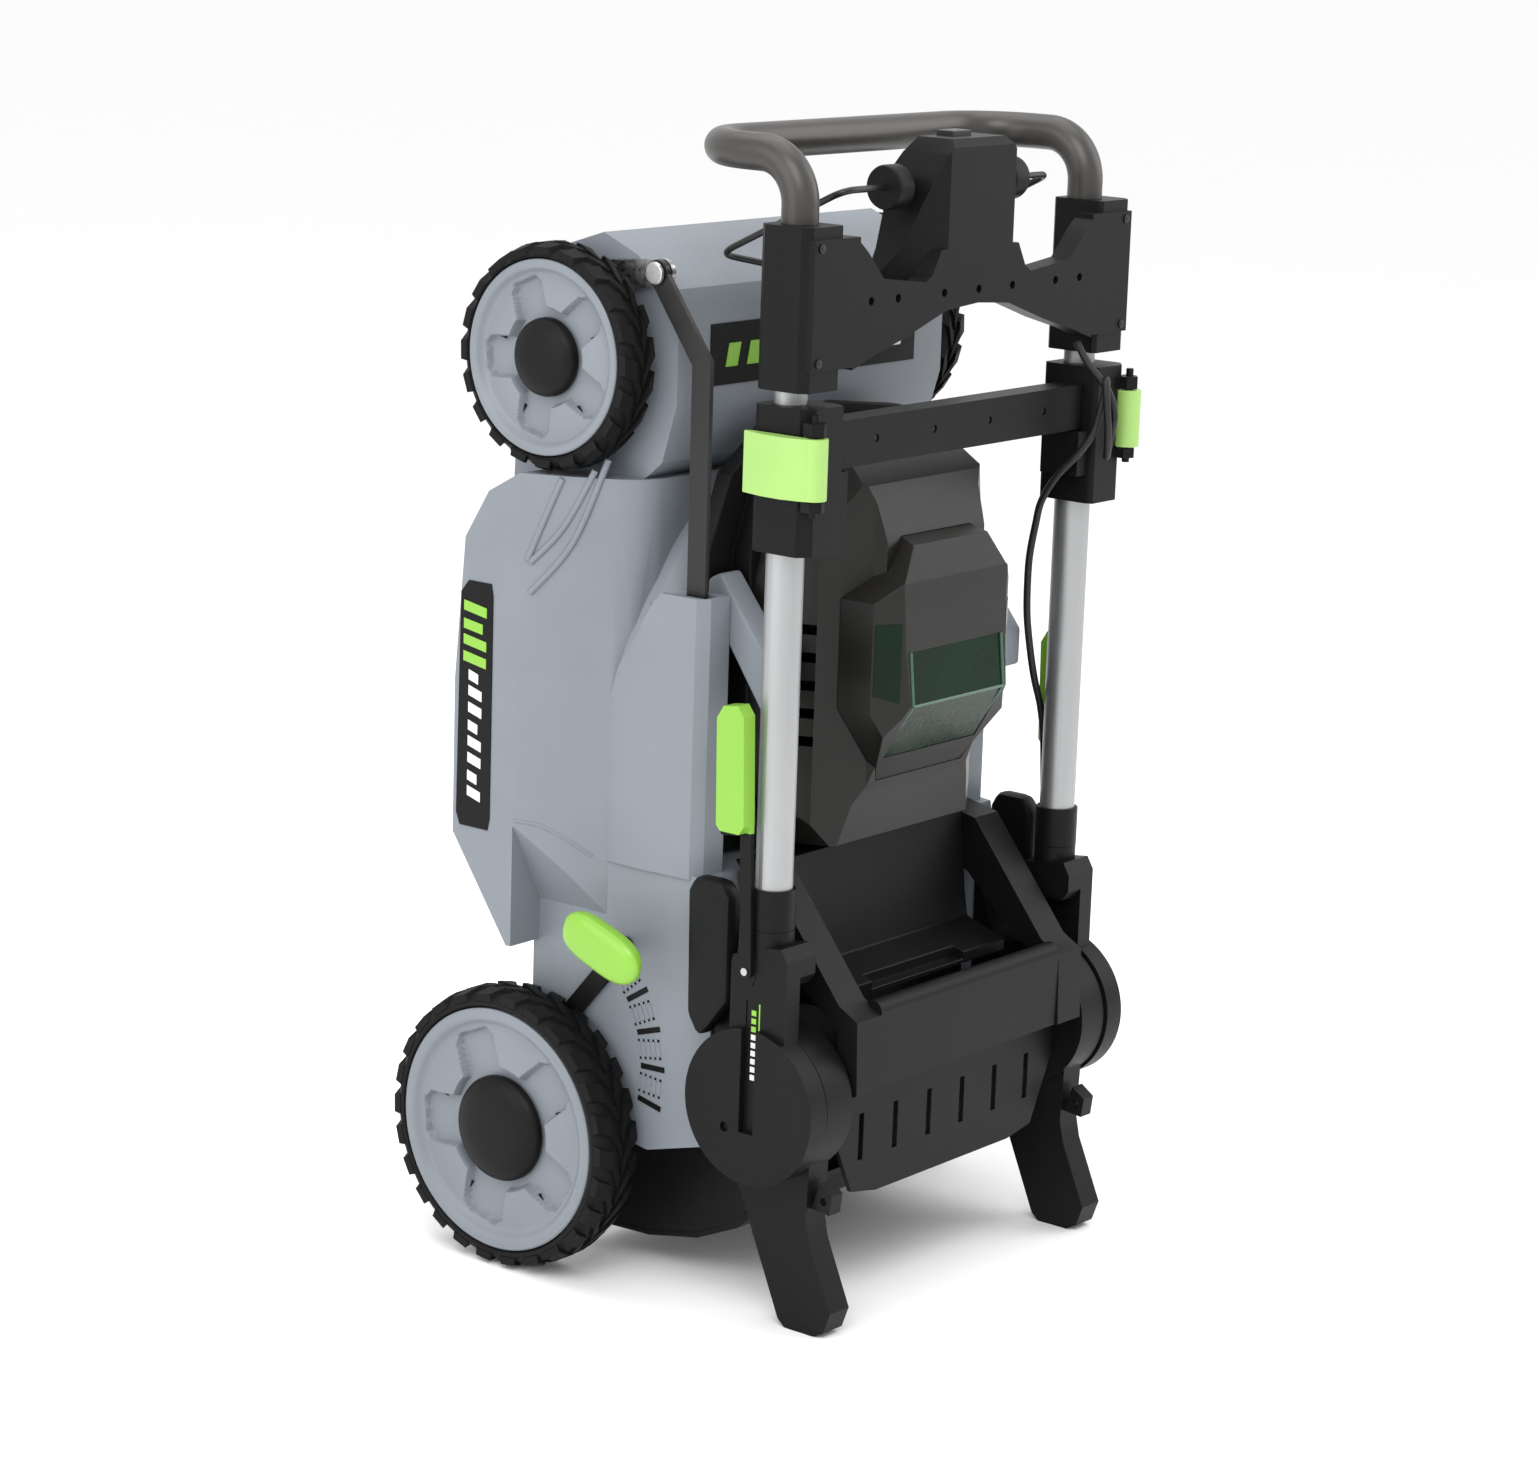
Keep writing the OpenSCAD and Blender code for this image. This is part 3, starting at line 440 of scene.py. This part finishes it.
edgeWidths = {
    "deck": 0.004, "struts": 0.003, "motor_base": 0.002, "rear_housing": 0.003, "carry_frame": 0.006,
    "louvre_panel": 0.0014, "rear_door": 0.001, "bracket_left": 0.004, "bracket_right": 0.004,
    "bracket_cover_left": 0.006, "bracket_cover_right": 0.006,
    "swing_arm_left": 0.003, "swing_arm_right": 0.003, "clamp_left": 0.0026, "clamp_right": 0.0026,
    "cross_bar": 0.0025, "console": 0.004, "link_rod": 0.0012,
    "blade": 0.0004, "battery_pack": 0.002, "start_button": 0.001, "rear_axle": 0.0008, "front_axle": 0.0008,
    "badges": 0.0004, "rod_bolts": 0.002, "bail_hubs": 0.003, "tube_collars": 0.001,
}
for node, width in edgeWidths.items():
    softenNode(node, width)
for node in ("motor_hood", "battery_lid"):
    softenNode(node, 0.003, segments=3, material=hoodSatin)
for node in ("cam_lever_left", "cam_lever_right"):
    softenNode(node, 0.002, material=clampLime)
print("rounded parts made")


# Cuts a copy of a CAD node in two at a plane and rounds both halves, so that each has its own plastic.
def splitNode(node, width, point, normal, outerSlot, innerSlot):
    for half, slotName in (("outer", outerSlot), ("inner", innerSlot)):
        build = copyNode(node)
        cutNode(build, point, normal, half == "outer", half == "inner")
        bevelSharp(build, width)
        piece = finishPiece(f"{node}_{half}", build, bodyOf[node], slotName, 38)
        evenNormals(piece)
        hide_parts(node)


for node in ("fold_lever_left", "fold_lever_right"):
    splitNode(node, 0.0035, at(0, 0, 393.5), (0, 0, 1), "lime_plastic", "black_plastic")
print("levers split")


# height lever: rounded lime grip on a black stem

def makeHeightLever():
    size = {"centre": at(-233.4, -28, 285), "half": (0.0098, 0.0402, 0.0188), "lean": 20, "blunt": 3.6,
            "stemEnd": -0.2226}
    build = bmesh.new()
    ball = bmesh.ops.create_uvsphere(build, u_segments=48, v_segments=32, radius=1)["verts"]
    for vert in ball:
        x, y, z = vert.co
        pinch = (1 - abs(z) ** size["blunt"]) ** 0.5
        flat = math.hypot(x, y) or 1
        x, y = x / flat, y / flat
        square = (abs(x) ** 3 + abs(y) ** 3) ** (1 / 3) or 1
        vert.co = (x / square * pinch, z, y / square * pinch)
    bmesh.ops.scale(build, verts=ball, vec=size["half"])
    place = Matrix.Translation(size["centre"]) @ Matrix.Rotation(math.radians(size["lean"]), 4, "X")
    bmesh.ops.transform(build, matrix=place, verts=ball)
    grip = finishPiece("heightGrip", build, bodyOf["height_lever"], "lime_plastic", 60)
    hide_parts("height_lever")

    build = copyNode("height_lever")
    cutNode(build, (size["stemEnd"], 0, 0), (1, 0, 0), True)
    stem = finishPiece("heightStem", build, bodyOf["height_lever"], "black_plastic", 35)
    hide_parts("height_lever")


makeHeightLever()


# cable and bail wire

cableRoute = [
    (150, -180, 740), (152, -190, 724), (158, -206, 704), (164, -210, 684), (164, -207, 664),
    (162, -206, 650), (158, -209, 658), (154, -211, 676), (152, -210, 696), (154, -207, 712),
    (160, -204, 706), (157, -202, 690), (152, -198, 668), (146, -188, 650), (144, -170, 630),
    (150, -153, 608), (152, -147, 588), (150, -144, 562), (149, -144, 537), (152, -143, 512),
    (161, -141, 484), (172, -139, 457), (184, -138, 432), (192, -137, 406), (195, -137, 378),
    (196, -138, 350), (196, -139, 322), (196, -139, 298),
]


def makeCable():
    build = bmesh.new()
    addTube(build, smoothPath([at(*p) for p in cableRoute], 6), 0.003, 14)
    piece = finishPiece("cableLead", build, bodyOf["cable"], "cable_rubber", 60)
    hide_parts("cable")


# Rounds each inner corner of a path with an arc of a few points.
def roundedPath(points, radius, steps=7):
    path = [Vector(points[0])]
    for before, corner, after in zip(points, points[1:], points[2:]):
        a = (before - corner).normalized()
        b = (after - corner).normalized()
        longest = 0.45 * min((before - corner).length, (after - corner).length)
        reach = min(radius / math.tan(a.angle(b) / 2), longest)
        start, finish = corner + a * reach, corner + b * reach
        for i in range(steps + 1):
            t = i / steps
            path.append((1 - t) ** 2 * start + 2 * t * (1 - t) * corner + t * t * finish)
    path.append(Vector(points[-1]))
    return path


def makeBail():
    half = [(72, -158, 872), (132, -158, 872), (134, -43, 815), (62, -56, 800)]
    points = [at(*p) for p in half] + [at(-x, y, z) for x, y, z in reversed(half)]
    build = bmesh.new()
    addTube(build, roundedPath(points, 0.014), 0.0026, 14)
    piece = finishPiece("bailLoop", build, bodyOf["bail_wire"], slotOf["bail_wire"], 60)
    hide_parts("bail_wire")


makeCable()
makeBail()
print("cable and bail made")


# small parts

def addScrew(build, x, y, z, radius, depth=0.003):
    way = Vector((0, -1, 0))
    place = at(x, y, z)
    addRod(build, radius, place - way * depth, place, 16)
    addRod(build, radius * 0.45, place - way * 0.0002, place + way * 0.0004, 6)


# x, y and z of each screw's head, its radius and the node that it sits on.
screwSets = {
    "consoleScrews": {"node": "console", "radius": 0.0029,
                      "heads": [(x, -185.5, 793.5) for x in (-134.7, -101.8, -44, 0, 44, 101.8, 134.7)]},
    "flangeScrews": {"node": "console", "radius": 0.0034,
                     "heads": [(x, -191.2, z) for x in (-196, 196) for z in (752, 836)]},
    "barScrews": {"node": "cross_bar", "radius": 0.0028,
                  "heads": [(x, -178.5, 688) for x in (-108.6, -35.8, 35.8, 108.6)]},
}


def makeScrews():
    for name, screws in screwSets.items():
        build = bmesh.new()
        for x, y, z in screws["heads"]:
            addScrew(build, x, y, z, screws["radius"])
        finishPiece(name, build, bodyOf[screws["node"]], "black_steel", 35)


makeScrews()


# Painted shade: small black blocks sunk in the arms of each rim stand in for the shade inside their slots.
def makeRimSlotShade(end, side, word):
    size = wheelSizes[end]
    slot = {"reach": 0.66, "depth": 0.0099, "half": (0.0006, 0.004, 0.0011)}
    build = bmesh.new()
    for k in range(star["arms"]):
        a = math.tau * k / star["arms"] + starTurn
        place = onWheel(size, side, slot["depth"], size["rim"] * slot["reach"], a)
        turn = Matrix.Translation(place) @ Matrix.Rotation(side * a, 4, "X")
        addBlock(build, [-h for h in slot["half"]], slot["half"], turn)
    # black_plastic here is painted shade for the slot recesses, not a black part
    finishPiece(f"rimSlotShade_{end}_{word}", build, f"wheel_{end}_{word}", "black_plastic", 30)


for end in ("rear", "front"):
    for side, word in ((-1, "left"), (1, "right")):
        makeRimSlotShade(end, side, word)


# Generic marks on the badges: slanted bars, no lettering.
def makeBadgeMarks():
    sideBars = {"count": 12, "lime": 4, "top": 530, "pitch": 13.5, "limeY": (108, 132), "whiteY": (112, 126),
                "from": 0.2229, "to": 0.2234}
    for side, word in ((-1, "left"), (1, "right")):
        lime = bmesh.new()
        white = bmesh.new()
        for k in range(sideBars["count"]):
            build = lime if k < sideBars["lime"] else white
            low, high = sideBars["limeY"] if k < sideBars["lime"] else sideBars["whiteY"]
            z = sideBars["top"] - k * sideBars["pitch"]
            outline = [(low, z), (high, z + 4), (high, z - 4), (low, z - 8)]
            if k % 3 == 1:
                outline = [(low + 4, z), (high, z + 3), (high, z - 5), (low + 4, z - 8)]
            addSlab(build, outline, sideBars["from"], sideBars["to"], sideFace(side))
        finishPiece(f"badgeBarsLime_{word}", lime, bodyOf["badges"], "lime_plastic", 30)
        finishPiece(f"badgeBarsWhite_{word}", white, bodyOf["badges"], "deck_grey", 30, markWhite)
    noseBars = {"count": 9, "lime": 3, "first": -112, "pitch": 26, "low": 726, "high": 744,
                "from": -0.0346, "to": -0.0339}
    low, high = noseBars["low"], noseBars["high"]
    lime = bmesh.new()
    white = bmesh.new()
    for k in range(noseBars["count"]):
        build = lime if k < noseBars["lime"] else white
        x = noseBars["first"] + k * noseBars["pitch"]
        outline = [(x, low), (x + 14, low), (x + 18, high), (x + 4, high)]
        addSlab(build, outline, noseBars["from"], noseBars["to"],
                lambda u, v, d: Vector((u / 1000, d + shift, v / 1000)))
    finishPiece("frontBadgeLime", lime, bodyOf["badges"], "lime_plastic", 30)
    finishPiece("frontBadgeWhite", white, bodyOf["badges"], "deck_grey", 30, markWhite)


makeBadgeMarks()


# Half of the deck's outside seen along Z: each distance from the middle with its Y.
deckSide = [(222, 76), (204, 36), (188, 8), (176, -5), (160, -12), (100, -14)]


def sideDrop(x):
    for (x0, y0), (x1, y1) in zip(deckSide, deckSide[1:]):
        if x1 <= x <= x0:
            return y0 + (y1 - y0) * (x - x0) / (x1 - x0)
    return deckSide[0][1]


# Ladder-like height scale on the wall of each rear wheel well, and a dark notch after each of its steps.
def makeHeightScale(side, word):
    scale = {
        "centre": (70, 176.3), "radius": 112, "wall": 187.5, "rise": 0.5, "steps": (50, 65, 80, 95),
        "notchTurn": 7.5, "notch": (-14, -2.2, 10, 2.2),
        "bars": ((-11, -8, -9, 8), (9, -8, 11, 8), (-1, -8, 1, 8), (-11, -8, 11, -6), (-11, 6, 11, 8),
                 (-6, -8, -4, 8), (4, -8, 6, 8)),
    }
    y0, z0 = scale["centre"]
    h = scale["rise"] / 1000
    sets = (
        ("heightScale", "deck_grey", scale["bars"], 0),
        ("scaleNotches", "black_plastic", (scale["notch"],), scale["notchTurn"]),
    )
    for name, slotName, bars, offset in sets:
        build = bmesh.new()
        for step in scale["steps"]:
            a = math.radians(step + offset)
            turn = Matrix.Translation(at(side * scale["wall"], y0 - scale["radius"] * math.sin(a),
                                         z0 + scale["radius"] * math.cos(a)))
            turn = turn @ Matrix.Rotation(math.radians(step + offset - 90), 4, "X")
            for yLow, zLow, yHigh, zHigh in bars:
                addBlock(build, (-h, yLow / 1000, zLow / 1000), (h, yHigh / 1000, zHigh / 1000), turn)
        finishPiece(f"{name}_{word}", build, bodyOf["deck"], slotName, 30)


# A thin ridge along the front edge of each rear wheel well, and three ribs on the side ahead of it.
def makeDeckBeads(side, word):
    ridge = [(222, 77, 365), (213, 57, 363), (205, 39, 355), (194, 19, 342)]
    ribs = [
        [(208, 639), (213, 610), (219, 574)],
        [(196, 647), (207, 602), (218, 572)],
        [(191, 656), (204, 590), (218, 548)],
    ]
    build = bmesh.new()
    addTube(build, smoothPath([at(side * x, y, z) for x, y, z in ridge], 6), 0.0014, 8)
    finishPiece(f"wellRidge_{word}", build, bodyOf["deck"], "deck_grey", 60)
    build = bmesh.new()
    for rib in ribs:
        addTube(build, smoothPath([at(side * x, sideDrop(x) + 0.6, z) for x, z in rib], 6), 0.0028, 10)
    finishPiece(f"sideRibs_{word}", build, bodyOf["deck"], "deck_grey", 60)


for side, word in ((-1, "left"), (1, "right")):
    makeHeightScale(side, word)
    makeDeckBeads(side, word)


# Frame of the lid's window: a lighter bead round both panes.
def makeWindowFrame():
    window = {"half": 59, "rise": 0.6, "bead": 0.0013, "low": (-157.4, 430.5), "fold": (-187.2, 475.0),
              "top": (-182.7, 517)}
    build = bmesh.new()
    edges = [window["low"], window["fold"], window["top"]]
    left = [at(-window["half"], y - window["rise"], z) for y, z in edges]
    right = [at(window["half"], y - window["rise"], z) for y, z in edges]
    for run in ([left[0], right[0]], [left[1], right[1]], left, right):
        for start, finish in zip(run, run[1:]):
            addRod(build, window["bead"], start, finish, 10)
    finishPiece("windowBead", build, bodyOf["battery_lid"], "window_green", 50, frameGreen)


# Dark panes on the lid's slanted flanks, beside the window.
def makeFlankPanes():
    pane = {"inner": (68.0, -180.9), "outer": (86.5, -169.1), "low": 478, "high": 540, "lifts": (-0.3, 0.5)}
    (x0, y0), (x1, y1) = pane["inner"], pane["outer"]
    out = Vector((y1 - y0, x0 - x1, 0)).normalized()
    corners = [(x0, y0, pane["low"]), (x1, y1, pane["low"] + 6), (x1, y1, pane["high"]),
               (x0, y0, pane["high"])]
    for side, word in ((-1, "left"), (1, "right")):
        build = bmesh.new()
        levels = []
        for lift in pane["lifts"]:
            levels.append([build.verts.new(at(side * (x + out.x * lift), y + out.y * lift, z))
                           for x, y, z in corners])
        low, high = levels
        build.faces.new(low)
        build.faces.new(high)
        for i in range(4):
            j = (i + 1) % 4
            build.faces.new((low[i], low[j], high[j], high[i]))
        finishPiece(f"flankPane_{word}", build, bodyOf["battery_lid"], "window_green", 30)


# Closed cheeks at both ends of the rear door.
def makeDoorCheeks():
    outline = [
        (-116, 76), (-97, 55), (-58, 37), (-10, 27), (38, 25), (64, 32), (62, 121), (-40, 109), (-97, 124),
        (-114, 108),
    ]
    for side, word in ((-1, "left"), (1, "right")):
        build = bmesh.new()
        addSlab(build, outline, 0.1405, 0.1455, sideFace(side))
        bevelSharp(build, 0.0012)
        finishPiece(f"doorCheek_{word}", build, bodyOf["rear_door"], "black_plastic", 35)


# Generic scale on each swinging arm: a lime line beside short dashes.
def makeArmMarks():
    marks = {"count": 9, "lime": 3, "top": 255, "pitch": 6.4, "length": 4.2, "y": (-157.6, -153.2),
             "from": 0.2018, "to": 0.2026,
             "line": [(-161.4, 200), (-160.2, 200), (-160.2, 261), (-161.4, 261)]}
    low, high = marks["y"]
    for side, word in ((-1, "left"), (1, "right")):
        lime = bmesh.new()
        white = bmesh.new()
        addSlab(lime, marks["line"], marks["from"], marks["to"], sideFace(side))
        for k in range(marks["count"]):
            build = lime if k < marks["lime"] else white
            z = marks["top"] - k * marks["pitch"]
            outline = [(low, z), (high, z), (high, z - marks["length"]), (low, z - marks["length"])]
            addSlab(build, outline, marks["from"], marks["to"], sideFace(side))
        arm = bodyOf["swing_arm_left"]
        finishPiece(f"armScaleLime_{word}", lime, arm, "lime_plastic", 30)
        finishPiece(f"armScaleWhite_{word}", white, arm, "deck_grey", 30, markWhite)


makeWindowFrame()
makeFlankPanes()
makeDoorCheeks()
makeArmMarks()
print("small parts made")


# light, floor and camera

def softBox(name, place, aim, size, power, colour=(1, 1, 1)):
    data = bpy.data.lights.new(name, "AREA")
    data.shape = "RECTANGLE"
    data.size, data.size_y = size
    data.energy = power
    data.color = colour
    lamp = bpy.data.objects.new(name, data)
    lamp.location = place
    lamp.rotation_euler = (Vector(aim) - Vector(place)).to_track_quat("-Z", "Y").to_euler()
    bpy.context.scene.collection.objects.link(lamp)
    return lamp


lamps = [
    softBox("keyLight", (-2.2, -1.6, 3.0), (0, 0, 0.45), (2.0, 2.0), 62),
    softBox("fillLight", (-3.0, 0.6, 1.6), (0, 0, 0.45), (2.4, 2.4), 34),
    softBox("rimLight", (1.8, -1.4, 1.8), (0, 0, 0.45), (1.6, 2.2), 22),
    softBox("topLight", (0.2, 0.4, 3.2), (0, 0, 0.4), (2.6, 2.6), 38),
]

floorMesh = bpy.data.meshes.new("floor")
floorBuild = bmesh.new()
bmesh.ops.create_grid(floorBuild, x_segments=1, y_segments=1, size=30)
floorBuild.to_mesh(floorMesh)
floorBuild.free()
floor = bpy.data.objects.new("floor", floorMesh)
bpy.context.scene.collection.objects.link(floor)
floorMesh.materials.append(mouldedPlastic("paleFloor", (0.95, 0.95, 0.95), 0.8, 40, 0.0, 0.005, sheen=0.1))

world = bpy.data.worlds.new("paleRoom")
world.use_nodes = True
world.node_tree.nodes["Background"].inputs["Color"].default_value = (1, 1, 1, 1)
world.node_tree.nodes["Background"].inputs["Strength"].default_value = 1.02
bpy.context.scene.world = world
bpy.context.scene.view_settings.view_transform = "Standard"

cameraData = bpy.data.cameras.new("camera")
cameraData.lens = 95.3
cameraData.sensor_width = 36
cameraData.clip_end = 30
camera = bpy.data.objects.new("camera", cameraData)
camera.matrix_world = Matrix((
    (0.6283, 0.1531, -0.7628, -2.5235),
    (-0.7774, 0.1645, -0.6072, -2.0087 + shift),
    (0.0325, 0.9745, 0.2224, 1.1453),
    (0, 0, 0, 1),
))
bpy.context.scene.collection.objects.link(camera)
bpy.context.scene.camera = camera
print("stage ready")
